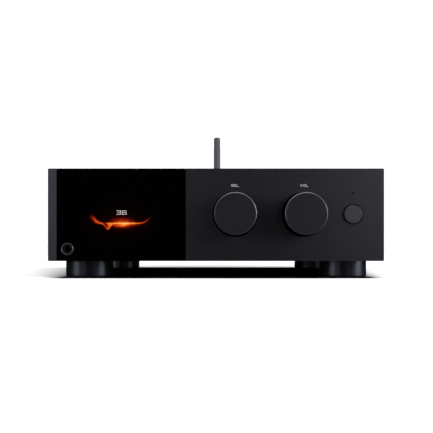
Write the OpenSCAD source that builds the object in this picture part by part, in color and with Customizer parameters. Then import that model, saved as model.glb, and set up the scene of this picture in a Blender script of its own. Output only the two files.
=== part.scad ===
// Compact stereo integrated amplifier with a network module, in millimetres.
// X is to the right seen from the front, Y to the back and Z up.
// The origin is on the ground, under the middle of the whole envelope.

/* [Case] */
// Width of the front panel, the widest piece
panel_w = 350; // [346:1:372]
// Height of the front panel
panel_h = 96.4; // [96:0.2:104]
// Thickness of the front panel
panel_t = 8; // [8:0.5:9]
// From the front panel's face to the rear panel's outer face
case_d = 300; // [298:1:320]
// Thickness of the folded steel sheet
sheet = 1.5; // [1:0.1:1.5]
// Height of the feet, from the ground to the base
foot_h = 18.6; // [16:0.2:24]
// Outer radius of a foot
foot_r = 25.7; // [20:0.1:27]

/* [Front controls] */
// Radius of the two large knobs
knob_r = 21.7; // [18:0.1:24]
// How far the knobs stand out of the front panel
knob_reach = 18; // [16:0.5:22]
// Distance of the selector knob from the middle
selector_x = 19.9; // [16:0.1:24]
// Distance of the volume knob from the middle
volume_x = 91.9; // [86:0.1:96]
// Distance of the power button from the middle
button_x = 142.8; // [136:0.1:146]
// Radius of the power button's cap
button_r = 9.4; // [8:0.1:9.6]
// Height of the knobs' and the button's centres above the ground
control_z = 66.7; // [64:0.1:72]
// Travel of the power button
button_travel = 1.2; // [0.8:0.1:1.3]

/* [Display] */
// Left edge of the black glass
glass_x0 = -166.1; // [-167:0.1:-165]
// Right edge of the black glass
glass_x1 = -31.4; // [-33:0.1:-30]
// Thickness of the glass
glass_t = 2; // [1.5:0.1:2]
// Middle of the display window along X
window_x = -99.3; // [-102:0.1:-97]
// Middle of the display window's height
window_z = 63; // [62:0.1:64]

/* [Headphone socket] */
// Middle of the socket along X
jack_x = -154.7; // [-156:0.1:-154]
// Height of the socket's middle
jack_z = 30.5; // [30:0.1:31]
// Radius of the hole for the 6.35 mm plug
jack_bore_r = 3.2; // [3.2:0.01:3.25]

/* [Rear] */
// How far the loudspeaker posts stand out of the rear panel
rear_reach = 24; // [24:0.5:26]
// Spacing of the two posts of one loudspeaker
post_pitch = 19.05; // [19.05]
// Radius of the hole for a 4 mm banana plug
banana_r = 2.05; // [2.02:0.01:2.1]
// Travel of a post's cap when it is screwed out
cap_travel = 2.4; // [1.6:0.1:2.4]
// Height of the antenna's pivot above the ground
antenna_z = 92; // [90:0.5:94]
// Length of the antenna from its pivot to its tip
antenna_len = 108; // [90:0.1:120]
// Radius of the antenna
antenna_r = 5; // [4:0.1:5]

/* [Inside] */
// Outer radius of the ring transformer
toroid_r = 56; // [50:1:57]
// Height of the ring transformer's winding
toroid_h = 48; // [40:1:52]
// Number of fins on the heat sink
fins = 20; // [12:1:21]

/* [Hidden] */

$fn = 64;
eps = 0.05;
through = 400;

// Planes of the case.
front_y = -(knob_reach + case_d + rear_reach) / 2 + knob_reach;
rear_y = front_y + case_d;
panel_back = front_y + panel_t;
panel_z0 = foot_h - 0.6;
panel_z1 = panel_z0 + panel_h;
base_z = foot_h;
floor_z = base_z + sheet;
rear_t = 2;
rear_in = rear_y - rear_t;
cover_top = panel_z1 - 1;
bend = 3;
cover_x = panel_w / 2 - 1.5;
tray_x = cover_x - sheet;
flange_back = panel_back + sheet;
panel_corner = 1.2;

// Feet, relative to the middle and the front panel.
foot_x = 140.1;
foot_front_y = front_y + 42;
foot_rear_y = front_y + 266;
foot_places = [[-foot_x, foot_front_y], [foot_x, foot_front_y],
               [-foot_x, foot_rear_y], [foot_x, foot_rear_y]];
foot_draft = 0.1;
pad_r = 22;
pad_h = 2;
pad_proud = 0.8;
pad_hole_r = 6;

// Front: glass, display and controls.
glass_gap = 0.1;
glass_floor = front_y + glass_t + glass_gap;
window_w = 95.4;
window_h = 40;
display_board_w = 104;
display_board_h = 48;
board_t = 1.6;
control_board_y = panel_back + 6.6;
control_x0 = -12;
control_x1 = 168;
control_z0 = 46;
control_z1 = 99;
control_posts = [[control_x0 + 6, control_z0 + 6], [control_x0 + 6, control_z1 - 5],
                 [control_x1 - 5, control_z0 + 6], [control_x1 - 5, control_z1 - 5]];
knob_gap = 1;
// Each knob sits over a shallow well in the panel, seen as a dark line round it.
well_gap = 1.8;
well_d = 1.2;
knob_back = front_y - knob_gap;
knob_front = front_y - knob_reach;
counterbore_r = 9;
counterbore_d = 4;
bushing_r = 3.5;
shaft_r = 3;
running = 0.05;
sleeve_r = 10.75;
button_hole_r = sleeve_r + 0.05;
button_proud = 1.5;
button_edge = 0.2;
button_cap_t = 3;
stem_r = 2.5;
plunger_r = 1.75;
plunger_front = control_board_y - 5;
sleeve_front = front_y + 0.8;
sleeve_back = panel_back + 0.4;
sleeve_floor = sleeve_back - 1.6;
cap_back = front_y - button_proud + button_cap_t;
spring_r = 4;
spring_wire = 0.6;
spring_turns = 3;
lamp_z = control_z + 22.2;
lamp_r = 1.75;
bezel_r = 6.4;
nose_r = 5.4;
jack_len = 30;
jack_front = front_y + 1.5;
jack_back = jack_front + jack_len + 2;

// Screws.
screw_r = 1.5;
screw_hole_r = 1.7;
tapped_r = 1.55;
head_r = 2.8;
head_h = 1.8;
thin_head_h = 1;
panel_screws = [[-168.8, 42], [-168.8, 90], [-38, 32], [-38, 100], [52, 36], [168.8, 42],
                [168.8, 90]];
side_screw_y = [-118, 0, 118];
side_screw_z = floor_z + 7;
rear_screw_x = [-168, -105, 6, 48, 168];
rear_screw_z = floor_z + 6;
top_screw_x = [-150, 0, 150];
top_screw_y = rear_in - 8;
spacer_r = 3;
spacer_h = 9.9;
deck_z = floor_z + spacer_h;
deck_top = deck_z + board_t;

// Boards, each as [x0, y0, x1, y1] with its spacers.
supply_rect = [-165, 22, -35, 108];
supply_posts = [[-160, 27], [-160, 103], [-40, 27], [-40, 103]];
amp_rect = [-20, -100, 111, 70];
amp_posts = [[-15, -95], [-15, 65], [103, -95], [103, 65]];
input_rect = [12, 88, 160, 143];
input_posts = [[16, 94], [156, 94], [44, 136], [152, 136]];
deck_posts = concat(supply_posts, amp_posts, input_posts);
capacitor_places = [[-148, 42], [-113, 42], [-148, 78], [-113, 78]];
capacitor_r = 15;
capacitor_h = 45;

// Ring transformer.
toroid_x = -100;
toroid_y = -45;
toroid_hole_r = 18;
toroid_pad = 3;
toroid_z0 = floor_z + toroid_pad;
toroid_z1 = toroid_z0 + toroid_h;
top_pad = 2;
clamp_t = 1.5;
clamp_z = toroid_z1 + top_pad;
bolt_r = 4;

// Heat sink and output transistors.
sink_x0 = 112;
sink_x1 = 166;
sink_base = 6;
sink_y0 = -100;
fin_t = 2;
fin_pitch = 8;
sink_y1 = sink_y0 + fin_pitch * (fins - 1) + fin_t;
sink_z1 = floor_z + 84;
transistor_y = [-82, -52, -22, 8];

// Rear sockets.
phono_x = [62, 80, 98, 116, 134];
phono_z = [44, 64];
phono_r = 4.15;
phono_len = 10;
phono_y0 = rear_y + 1.6;
phono_core_r = 3.5;
phono_bore_r = 1.65;
phono_floor = rear_in + 1;
post_z = 44;
post_x = [-78, -78 + post_pitch, -32, -32 + post_pitch];
post_stud_r = 3;
post_collar_y = rear_y + 5;
post_end = rear_y + rear_reach - 4;
post_flange_t = 3;
cap_r = 7;
cap_y0 = post_collar_y + 1.6;
cap_y1 = rear_y + rear_reach;
flutes = 16;
net_x = 28;
net_w = 17;
net_h = 13.5;

// Mains inlet with its fuse drawer and rocker.
inlet_x = -140;
inlet_w = 28;
inlet_z0 = 33;
inlet_z1 = 85;
inlet_depth = 30;
inlet_flange_t = 2.5;
inlet_face = rear_y + inlet_flange_t;
plug_z0 = 47;
plug_z1 = 63.4;
plug_w = 24.2;
drawer_w = 23;
drawer_z0 = 36.2;
drawer_z1 = 42.8;
rocker_z = 74.5;
rocker_y = rear_y - 1.5;
rocker_w = 13;
rocker_tilt = 10;
rocker_pin_r = 1;

// Antenna.
antenna_y = rear_y + 14;
antenna_nut_y0 = rear_y + 2.7;
antenna_nut_y1 = rear_y + 9;
connector_r = 3.1;
fork_inner = 2.5;
knuckle_r = 4.4;
antenna_pin_r = 1.2;
whip_start = 5.6;
tip_len = 12.7;

// Colours.
panel_grey = [0.20, 0.20, 0.22];
knob_grey = [0.17, 0.17, 0.19];
glass_black = [0.02, 0.02, 0.02];
case_black = [0.10, 0.10, 0.11];
plastic_black = [0.06, 0.06, 0.06];
zinc = [0.72, 0.72, 0.74];
gold = [0.80, 0.62, 0.25];
board_green = [0.05, 0.30, 0.16];
nylon_white = [0.90, 0.90, 0.88];
signal_red = [0.70, 0.08, 0.08];

// ---- Shapes that repeat ----

module box(a, b) { translate(a) cube(b - a); }

// Extrudes a shape drawn in (x, z) from y0 to y1.
module along_y(y0, y1) {
    translate([0, y1, 0]) rotate([90, 0, 0]) linear_extrude(y1 - y0) children();
}

// Extrudes a shape drawn in (y, z) from x0 to x1.
module along_x(x0, x1) {
    translate([x0, 0, 0]) rotate([90, 0, 90]) linear_extrude(x1 - x0) children();
}

module rod_y(x, z, y0, y1, r) {
    translate([x, y1, z]) rotate([90, 0, 0]) cylinder(h = y1 - y0, r = r);
}

module rod_x(y, z, x0, x1, r) {
    translate([x0, y, z]) rotate([0, 90, 0]) cylinder(h = x1 - x0, r = r);
}

module rod_z(x, y, z0, z1, r) { translate([x, y, z0]) cylinder(h = z1 - z0, r = r); }

module tube_y(x, z, y0, y1, r, bore) {
    difference() {
        rod_y(x, z, y0, y1, r);
        rod_y(x, z, y0 - 1, y1 + 1, bore);
    }
}

// Turns a profile of [radius, distance] points about an axis that runs along +Y.
module turned_y(x, z, y, profile) {
    translate([x, y, z]) rotate([-90, 0, 0]) rotate_extrude() polygon(profile);
}

// A rectangle with round corners, centred, as exact squares and circles.
module rounded(w, h, r) {
    square([w - 2 * r, h], center = true);
    square([w, h - 2 * r], center = true);
    for (sx = [-1, 1], sz = [-1, 1]) translate([sx * (w / 2 - r), sz * (h / 2 - r)]) circle(r);
}

// A slot with round ends along X, centred.
module slot(length, w) {
    square([length - w, w], center = true);
    for (s = [-1, 1]) translate([s * (length - w) / 2, 0]) circle(w / 2, $fn = 24);
}

module slot_rows(x, y0, rows, pitch, length, w) {
    for (i = [0 : rows - 1]) translate([x, y0 + i * pitch]) slot(length, w);
}

module hex_z(x, y, z0, z1, r, bore) {
    difference() {
        translate([x, y, z0]) cylinder(h = z1 - z0, r = r, $fn = 6);
        rod_z(x, y, z0 - 1, z1 + 1, bore);
    }
}

module hex_y(x, z, y0, y1, r, bore) {
    difference() {
        translate([x, y1, z]) rotate([90, 0, 0]) cylinder(h = y1 - y0, r = r, $fn = 6);
        rod_y(x, z, y0 - 1, y1 + 1, bore);
    }
}

// A pan-head screw that points along -Z, with the head's underside at the origin.
module screw(length, height = head_h) {
    difference() {
        cylinder(h = height, r = head_r);
        translate([0, 0, height / 2]) cylinder(h = height, r = 1.1, $fn = 6);
    }
    translate([0, 0, -length]) cylinder(h = length + eps, r = screw_r);
}

// A wire through the given points, with a ball at each bend.
module wire(points, r) {
    for (i = [0 : len(points) - 2]) {
        step = points[i + 1] - points[i];
        reach = norm(step);
        translate(points[i])
            rotate([0, acos(step.z / reach), atan2(step.y, step.x)])
                cylinder(h = reach, r = r, $fn = 16);
        if (i > 0) translate(points[i]) sphere(r, $fn = 16);
    }
}

// ---- Front ----

module front_panel() {
    color(panel_grey) difference() {
        along_y(front_y, panel_back)
            translate([0, (panel_z0 + panel_z1) / 2]) rounded(panel_w, panel_h, panel_corner);
        box([glass_x0, front_y - 1, panel_z0 - 1], [glass_x1, glass_floor, panel_z1 + 1]);
        along_y(front_y - 1, panel_back + 1)
            translate([window_x, window_z]) rounded(window_w, window_h, 2);
        rod_y(jack_x, jack_z, front_y - 1, panel_back + 1, nose_r + 0.2);
        for (x = [selector_x, volume_x]) {
            rod_y(x, control_z, front_y - 1, front_y + well_d, knob_r + well_gap);
            rod_y(x, control_z, front_y - 1, front_y + counterbore_d, counterbore_r);
            rod_y(x, control_z, front_y, panel_back + 1, bushing_r + 0.1);
        }
        rod_y(button_x, control_z, front_y - 1, panel_back + 1, button_hole_r);
        rod_y(button_x, lamp_z, front_y - 1, panel_back + 1, lamp_r + 0.05);
        for (p = panel_screws) rod_y(p.x, p.y, panel_back - 4.5, panel_back + 1, tapped_r);
    }
}

module display_glass() {
    color(glass_black) difference() {
        box([glass_x0 + glass_gap, front_y + glass_gap, panel_z0],
            [glass_x1 - glass_gap, glass_floor, panel_z1]);
        rod_y(jack_x, jack_z, front_y - 1, glass_floor + 1, bezel_r + 0.2);
    }
}

// The light cell fills the window; its board closes the window from behind.
module display_module() {
    color(plastic_black) union() {
        along_y(glass_floor + 0.4, panel_back)
            translate([window_x, window_z]) rounded(window_w - 3, window_h - 3, 1);
        box([window_x - display_board_w / 2, panel_back, window_z - display_board_h / 2],
            [window_x + display_board_w / 2, panel_back + board_t,
             window_z + display_board_h / 2]);
        for (z = [window_z - 12, window_z + 12])
            box([window_x - 16, panel_back + board_t, z - 3],
                [window_x + 16, panel_back + board_t + 4, z + 3]);
    }
}

module headphone_bezel() {
    color(zinc) difference() {
        turned_y(jack_x, jack_z, front_y - 0.8, [
            [bezel_r - 0.9, 0.2], [bezel_r - 0.7, 0], [bezel_r - 0.3, 0], [bezel_r, 0.3],
            [bezel_r, 2.9], [nose_r - 0.3, 2.9], [nose_r - 0.3, 2.2]
        ]);
        rod_y(jack_x, jack_z, jack_front - 0.05, glass_floor + 1, nose_r + 0.05);
    }
}

module headphone_socket() {
    color(plastic_black) difference() {
        union() {
            rod_y(jack_x, jack_z, jack_front, flange_back, nose_r);
            box([jack_x - 8, flange_back, jack_z - 7], [jack_x + 8, jack_back, jack_z + 7]);
        }
        rod_y(jack_x, jack_z, jack_front - 1, jack_front + jack_len, jack_bore_r);
    }
}

// A turned knob: flat face, fine chamfer, hollow skirt and a hub for the shaft.
module knob(x) {
    depth = knob_back - knob_front;
    color(knob_grey) turned_y(x, control_z, knob_front, [
        [0, 0], [knob_r - 0.8, 0], [knob_r, 0.8], [knob_r, depth - 0.5],
        [knob_r - 0.5, depth], [knob_r - 2.6, depth], [knob_r - 3, depth - 0.4],
        [knob_r - 3, 3.5], [7, 3.5], [7, depth - 2.4], [shaft_r, depth - 2.4],
        [shaft_r, 2.5], [0, 2.5]
    ]);
}

// The encoder's spindle: it turns in the bushing and carries the knob's hub.
module shaft(x) {
    color(zinc) union() {
        rod_y(x, control_z, knob_front + 2.5, panel_back + 5, shaft_r);
        rod_y(x, control_z, panel_back + 1, panel_back + 2, shaft_r + 1.4);
    }
}

module selector_knob() { knob(selector_x); }
module volume_knob() { knob(volume_x); }
module selector_shaft() { shaft(selector_x); }
module volume_shaft() { shaft(volume_x); }

module encoder_bodies() {
    color(zinc) for (x = [selector_x, volume_x]) difference() {
        union() {
            box([x - 7, panel_back, control_z - 7], [x + 7, control_board_y, control_z + 7]);
            rod_y(x, control_z, front_y + 0.5, panel_back + eps, bushing_r);
        }
        rod_y(x, control_z, front_y, panel_back + 5.5, shaft_r + running);
        rod_y(x, control_z, panel_back + 0.7, panel_back + 2.3, shaft_r + 1.7);
    }
}

module encoder_nuts() {
    nut_y = front_y + counterbore_d;
    color(zinc) for (x = [selector_x, volume_x]) {
        tube_y(x, control_z, nut_y - 0.6, nut_y, 6.5, bushing_r + 0.05);
        hex_y(x, control_z, nut_y - 2.8, nut_y - 0.6, 5.8, bushing_r + 0.05);
    }
}

module power_button() {
    color([0.30, 0.30, 0.31]) {
        turned_y(button_x, control_z, front_y - button_proud, [
            [0, 0], [button_r - button_edge, 0], [button_r, button_edge], [button_r, button_cap_t],
            [stem_r, button_cap_t],
            [stem_r, plunger_front - front_y + button_proud],
            [0, plunger_front - front_y + button_proud]
        ]);
    }
}

// A cup pressed into the panel; its floor guides the button's stem.
module button_sleeve() {
    color(plastic_black) union() {
        tube_y(button_x, control_z, sleeve_front, sleeve_back, sleeve_r, button_r + 0.15);
        tube_y(button_x, control_z, sleeve_floor, sleeve_back, button_r + 0.2, stem_r + 0.08);
    }
}

function spring_point(k, steps, length) =
    [spring_r * cos(360 * spring_turns * k / steps), length * k / steps,
     spring_r * sin(360 * spring_turns * k / steps)];

// A compression spring round the stem, between the cap and the sleeve's floor.
module button_spring() {
    steps = 48;
    sides = 8;
    length = sleeve_floor - cap_back - spring_wire;
    rings = [for (k = [0 : steps]) let (
        c = spring_point(k, steps, length), a = 360 * spring_turns * k / steps)
        [for (j = [0 : sides - 1]) let (
            b = 360 * j / sides, out = spring_wire / 2 * cos(b))
            c + [out * cos(a), spring_wire / 2 * sin(b), out * sin(a)]]];
    points = [for (ring = rings, p = ring) p];
    sides_faces = [for (k = [0 : steps - 1], j = [0 : sides - 1])
        let (n = (j + 1) % sides)
        [k * sides + j, k * sides + n, (k + 1) * sides + n, (k + 1) * sides + j]];
    first = [[for (j = [0 : sides - 1]) sides - 1 - j]];
    last = [[for (j = [0 : sides - 1]) steps * sides + j]];
    color(zinc) translate([button_x, cap_back + spring_wire / 2, control_z])
        polyhedron(points, concat(sides_faces, first, last));
}

module power_switch() {
    color(plastic_black) difference() {
        box([button_x - 4.5, control_board_y - 3.6, control_z - 4.5],
            [button_x + 4.5, control_board_y, control_z + 4.5]);
        rod_y(button_x, control_z, control_board_y - 5, control_board_y - 0.6, plunger_r + running);
    }
}

module switch_plunger() {
    color(nylon_white)
        rod_y(button_x, control_z, plunger_front, control_board_y - 2.2, plunger_r);
}

module standby_lamp() {
    color([0.35, 0.05, 0.08]) union() {
        rod_y(button_x, lamp_z, front_y - 0.1, panel_back + 1, lamp_r);
        rod_y(button_x, lamp_z, panel_back + 0.1, control_board_y, 2.4);
    }
}

module control_board() {
    y1 = control_board_y + board_t;
    color(board_green) difference() {
        union() {
            box([control_x0, control_board_y, control_z0], [control_x1, y1, control_z1]);
            for (x = [40, 56, 112, 128]) box([x - 4, y1, 72], [x + 4, y1 + 1.6, 80]);
            box([50, y1, 84], [82, y1 + 8, 90]);
            for (x = [8, 150]) box([x - 6, y1, 54], [x + 6, y1 + 6, 60]);
        }
        for (p = control_posts) rod_y(p.x, p.y, control_board_y - 1, y1 + 1, screw_r + 0.1);
    }
}

// ---- Case ----

// Folded tray: floor, a front flange the panel bolts to, low sides and a low rear lip.
module base_tray() {
    side_h = 15;
    lip_h = 11;
    color(case_black) difference() {
        union() {
            box([-tray_x, panel_back, base_z], [tray_x, rear_in, floor_z]);
            box([-tray_x, panel_back, base_z], [tray_x, flange_back, cover_top - 4]);
            box([-tray_x, rear_in - sheet, base_z], [tray_x, rear_in, floor_z + lip_h]);
            for (s = [-1, 1]) translate([s * (tray_x - sheet / 2), 0, 0])
                box([-sheet / 2, panel_back, base_z], [sheet / 2, rear_in, floor_z + side_h]);
        }
        along_y(panel_back - 1, flange_back + 1) {
            translate([window_x, window_z + 0.2])
                rounded(display_board_w + 2.6, display_board_h + 1.6, 2);
            translate([(5 + 158) / 2, 75]) rounded(153, 42, 3);
            translate([jack_x, jack_z]) circle(nose_r + 0.3);
            for (p = panel_screws) translate(p) circle(screw_hole_r);
        }
        for (p = control_posts) rod_y(p.x, p.y, panel_back - 1, flange_back + 1, screw_r + 0.05);
        translate([0, 0, base_z - 1]) linear_extrude(sheet + 2) {
            slot_rows((sink_x0 + sink_x1) / 2, sink_y0 + 22, 13, 9, 34, 3.5);
            slot_rows(toroid_x, toroid_y - 32, 2, 64, 44, 3.5);
            for (p = foot_places) translate(p) circle(2.2);
            for (p = deck_posts) translate(p) circle(screw_r + 0.05);
            translate([toroid_x, toroid_y]) circle(bolt_r + 0.2);
        }
        for (x = rear_screw_x) rod_y(x, rear_screw_z, rear_in - 4, rear_in + 1, tapped_r);
        for (y = side_screw_y) rod_x(y, side_screw_z, -through / 2, through / 2, tapped_r);
    }
}

// Folded cover over the top and both sides, with ventilation slots.
module top_cover() {
    bottom = base_z + 0.4;
    color(case_black) difference() {
        along_y(panel_back, rear_y) difference() {
            cover_outline(cover_x, cover_top, bottom, bend);
            cover_outline(tray_x, cover_top - sheet, bottom - 1, bend - sheet);
        }
        translate([0, 0, cover_top - sheet - 1]) linear_extrude(sheet + 2) {
            slot_rows((sink_x0 + sink_x1) / 2, sink_y0 + 6, 22, 7, 40, 3);
            for (x = [-124, -76]) slot_rows(x, toroid_y - 42, 13, 7, 40, 3);
            for (x = [16, 64]) slot_rows(x, -73, 18, 7, 40, 3);
        }
        for (x = top_screw_x) rod_z(x, top_screw_y, cover_top - 5, cover_top + 1, screw_hole_r);
        for (y = side_screw_y) rod_x(y, side_screw_z, -through / 2, through / 2, screw_hole_r);
    }
}

module cover_outline(half, top, bottom, r) {
    translate([-half, bottom]) square([2 * half, top - r - bottom]);
    translate([-half + r, bottom]) square([2 * (half - r), top - bottom]);
    for (s = [-1, 1]) translate([s * (half - r), top - r]) circle(r);
}

module rear_panel() {
    lip = 14;
    color(case_black) difference() {
        union() {
            along_y(rear_in, rear_y)
                cover_outline(tray_x - 0.1, cover_top - sheet, base_z, bend - sheet);
            box([-tray_x + 3, rear_in - lip, cover_top - 2 * sheet],
                [tray_x - 3, rear_in + eps, cover_top - sheet]);
        }
        along_y(rear_in - 1, rear_y + 1) {
            for (x = phono_x, z = phono_z) translate([x, z]) circle(phono_r + 0.35);
            for (x = post_x) translate([x, post_z]) circle(5.2);
            translate([inlet_x, (inlet_z0 + inlet_z1) / 2])
                square([inlet_w + 0.4, inlet_z1 - inlet_z0 + 0.4], center = true);
            translate([net_x, deck_top + net_h / 2])
                square([net_w + 0.6, net_h + 0.6], center = true);
            translate([0, antenna_z]) circle(connector_r + 0.1);
            for (x = rear_screw_x) translate([x, rear_screw_z]) circle(screw_hole_r);
        }
        for (x = top_screw_x)
            rod_z(x, top_screw_y, cover_top - 6, cover_top, tapped_r);
    }
}

// Identical M3 screws: cover, rear panel, front panel and boards.
module machine_screws() {
    side_head = 1.4;
    color(zinc) {
        for (s = [-1, 1], y = side_screw_y) translate([s * cover_x, y, side_screw_z])
            rotate([0, s * 90, 0]) screw(7, side_head);
        for (x = rear_screw_x) translate([x, rear_y, rear_screw_z]) rotate([-90, 0, 0]) screw(6);
        for (x = top_screw_x) translate([x, top_screw_y, cover_top]) screw(5, thin_head_h);
        for (p = panel_screws) translate([p.x, flange_back, p.y]) rotate([-90, 0, 0]) screw(5.5);
        for (p = deck_posts) translate([p.x, p.y, deck_top]) screw(7);
        for (p = control_posts)
            translate([p.x, control_board_y + board_t, p.y]) rotate([-90, 0, 0]) screw(5);
    }
}

module board_standoffs() {
    color(zinc) {
        for (p = deck_posts) hex_z(p.x, p.y, floor_z, deck_z, spacer_r, tapped_r);
        for (p = control_posts) hex_y(p.x, p.y, flange_back, control_board_y, spacer_r, tapped_r);
    }
}

// A turned foot, a little wider at the ground, with a recess for its rubber pad.
module foot(place) {
    color(case_black) translate(place) rotate_extrude() polygon([
        [2.3, 8], [5.2, 8], [5.2, pad_proud + 1.4], [pad_r + 0.1, pad_proud + 1.4],
        [pad_r + 0.1, pad_proud], [foot_r - 0.6, pad_proud], [foot_r, pad_proud + 0.6],
        [foot_r - foot_draft, foot_h - 1], [foot_r - foot_draft - 0.8, foot_h], [2.3, foot_h]
    ]);
}

module front_left_foot() { foot(foot_places[0]); }
module front_right_foot() { foot(foot_places[1]); }
module rear_left_foot() { foot(foot_places[2]); }
module rear_right_foot() { foot(foot_places[3]); }

module foot_pads() {
    color(plastic_black) for (p = foot_places) translate(p) difference() {
        cylinder(h = pad_proud + 1.4, r = pad_r);
        translate([0, 0, -1]) cylinder(h = pad_h + 3, r = pad_hole_r);
    }
}

module foot_screws() {
    color(zinc) for (p = foot_places) {
        rod_z(p.x, p.y, 8 - 2.4, 8, 3.8);
        rod_z(p.x, p.y, 8 - eps, floor_z + 4.5, 2);
        hex_z(p.x, p.y, floor_z, floor_z + 3.2, 4, 2);
    }
}

// ---- Power supply ----

module mains_transformer() {
    ring = toroid_r - toroid_hole_r;
    color([0.75, 0.60, 0.20]) translate([toroid_x, toroid_y, toroid_z0 + toroid_h / 2])
        rotate_extrude() translate([toroid_hole_r + ring / 2, 0]) rounded(ring, toroid_h, 9);
}

module transformer_pads() {
    color(plastic_black) translate([toroid_x, toroid_y]) {
        for (p = [[floor_z, toroid_z0, toroid_r - 4], [toroid_z1, clamp_z, toroid_r - 12]])
            translate([0, 0, p[0]]) difference() {
                cylinder(h = p[1] - p[0], r = p[2]);
                translate([0, 0, -1]) cylinder(h = p[1] - p[0] + 2, r = toroid_hole_r + 4);
            }
    }
}

module transformer_clamp() {
    color(zinc) translate([toroid_x, toroid_y, clamp_z]) rotate_extrude() polygon([
        [bolt_r + 0.2, -4], [bolt_r + 6, -4], [toroid_hole_r, 0], [toroid_r - 13, 0],
        [toroid_r - 12, 1], [toroid_r - 12, clamp_t], [toroid_hole_r, clamp_t],
        [bolt_r + 5, clamp_t - 4], [bolt_r + 0.2, clamp_t - 4]
    ]);
}

module transformer_bolt() {
    nut_z = clamp_z + clamp_t - 4;
    color(zinc) {
        translate([toroid_x, toroid_y, base_z - 4]) cylinder(h = 4, r = 7.2, $fn = 6);
        rod_z(toroid_x, toroid_y, base_z - eps, nut_z + 10, bolt_r);
        hex_z(toroid_x, toroid_y, nut_z, nut_z + 6.5, 7.5, bolt_r);
    }
}

// A board on the deck, drilled for its spacers' screws.
module board(rect, posts) {
    difference() {
        box([rect[0], rect[1], deck_z], [rect[2], rect[3], deck_top]);
        for (p = posts) rod_z(p.x, p.y, deck_z - 1, deck_top + 1, screw_r + 0.1);
    }
}

module power_supply_board() {
    color(board_green) union() {
        board(supply_rect, supply_posts);
        box([-92, 36, deck_top], [-76, 64, deck_top + 16]);
        box([-68, 36, deck_top], [-60, 64, deck_top + 26]);
        for (y = [74, 90]) box([-92, y, deck_top], [-72, y + 12, deck_top + 15]);
        for (y = [72, 84, 96]) rod_z(-56, y, deck_top, deck_top + 12, 4);
    }
}

module smoothing_capacitors() {
    color([0.08, 0.10, 0.22]) for (p = capacitor_places)
        translate([p.x, p.y, deck_top]) rotate_extrude() polygon([
            [0, 0], [capacitor_r - 1, 0], [capacitor_r, 1], [capacitor_r, 3],
            [capacitor_r - 0.8, 3.8], [capacitor_r - 0.8, 4.6], [capacitor_r, 5.4],
            [capacitor_r, capacitor_h - 1], [capacitor_r - 1, capacitor_h],
            [capacitor_r - 3, capacitor_h], [capacitor_r - 3, capacitor_h - 0.6],
            [0, capacitor_h - 0.6]
        ]);
}

// ---- Amplifier ----

module heat_sink() {
    color(case_black) union() {
        box([sink_x0, sink_y0, floor_z], [sink_x0 + sink_base, sink_y1, sink_z1]);
        for (i = [0 : fins - 1])
            box([sink_x0 + sink_base - eps, sink_y0 + i * fin_pitch, floor_z],
                [sink_x1, sink_y0 + i * fin_pitch + fin_t, sink_z1]);
    }
}

module output_transistors() {
    color(plastic_black) for (y = transistor_y) {
        difference() {
            box([sink_x0 - 4.8, y - 7.8, 42], [sink_x0, y + 7.8, 62]);
            rod_x(y, 57, sink_x0 - 6, sink_x0 + 1, 1.7);
        }
        for (k = [-1 : 1])
            box([sink_x0 - 3, y + 5.4 * k - 0.6, deck_top], [sink_x0 - 2.2, y + 5.4 * k + 0.6, 42]);
    }
}

module amplifier_board() {
    color(board_green) union() {
        board(amp_rect, amp_posts);
        for (y = [-80, -20]) box([20, y, deck_top], [50, y + 12, deck_top + 15]);
        for (x = [0, 64, 80], y = [-84, -50, -16, 18])
            rod_z(x, y, deck_top, deck_top + 14, 5);
        for (y = [46, 58]) translate([60, y, deck_top + 4.6])
            rotate([0, 90, 0]) cylinder(h = 22, r = 5);
    }
}

module input_board() {
    color(board_green) union() {
        board(input_rect, input_posts);
        for (x = phono_x) box([x - 7, rear_in - 12, deck_top], [x + 7, rear_in - 0.1, 72]);
        for (x = [80, 116]) box([x - 8, 98, deck_top], [x + 8, 110, deck_top + 2]);
        box([66, 90, deck_top], [96, 95, deck_top + 7]);
    }
}

// Phono shells: a neck through the rear panel, a flange and a wall for the plug's collar.
module input_sockets() {
    color(gold) for (x = phono_x, z = phono_z) {
        difference() {
            union() {
                rod_y(x, z, rear_in, rear_y + eps, phono_r - 0.15);
                rod_y(x, z, rear_y, phono_y0, 6.2);
                rod_y(x, z, phono_y0 - eps, phono_y0 + phono_len, phono_r);
            }
            rod_y(x, z, rear_in - 1, rear_y + 20, phono_core_r + running);
        }
    }
}

// The coloured core marks the channel, and its hole takes the plug's centre pin.
module socket_insulators() {
    for (x = phono_x, z = phono_z) {
        color(z == phono_z[0] ? signal_red : nylon_white) difference() {
            rod_y(x, z, rear_in, phono_y0 + phono_len - 1, phono_core_r);
            rod_y(x, z, phono_floor, rear_y + 20, phono_bore_r);
        }
    }
}

module streaming_module() {
    color(zinc) union() {
        box([16, 98, deck_top + 3], [62, 124, deck_top + 8]);
        for (x = [20 : 6 : 58], y = [100, 121])
            box([x, y, deck_top], [x + 1, y + 1, deck_top + 3 + eps]);
    }
}

module network_socket() {
    z0 = deck_top;
    color(zinc) difference() {
        box([net_x - net_w / 2, rear_y - 21, z0], [net_x + net_w / 2, rear_y + 1, z0 + net_h]);
        box([net_x - 5.9, rear_y - 12, z0 + 3], [net_x + 5.9, rear_y + 2, z0 + 11]);
    }
}

// ---- Loudspeaker posts ----

module binding_posts() {
    color(gold) for (x = post_x) difference() {
        union() {
            rod_y(x, post_z, rear_y - 17, post_end, post_stud_r);
            rod_y(x, post_z, rear_y + post_flange_t, post_collar_y, 5);
            rod_y(x, post_z, rear_in - 7, rear_in - 3, 5);
        }
        rod_y(x, post_z, rear_y, post_end + 1, banana_r);
    }
}

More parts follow.
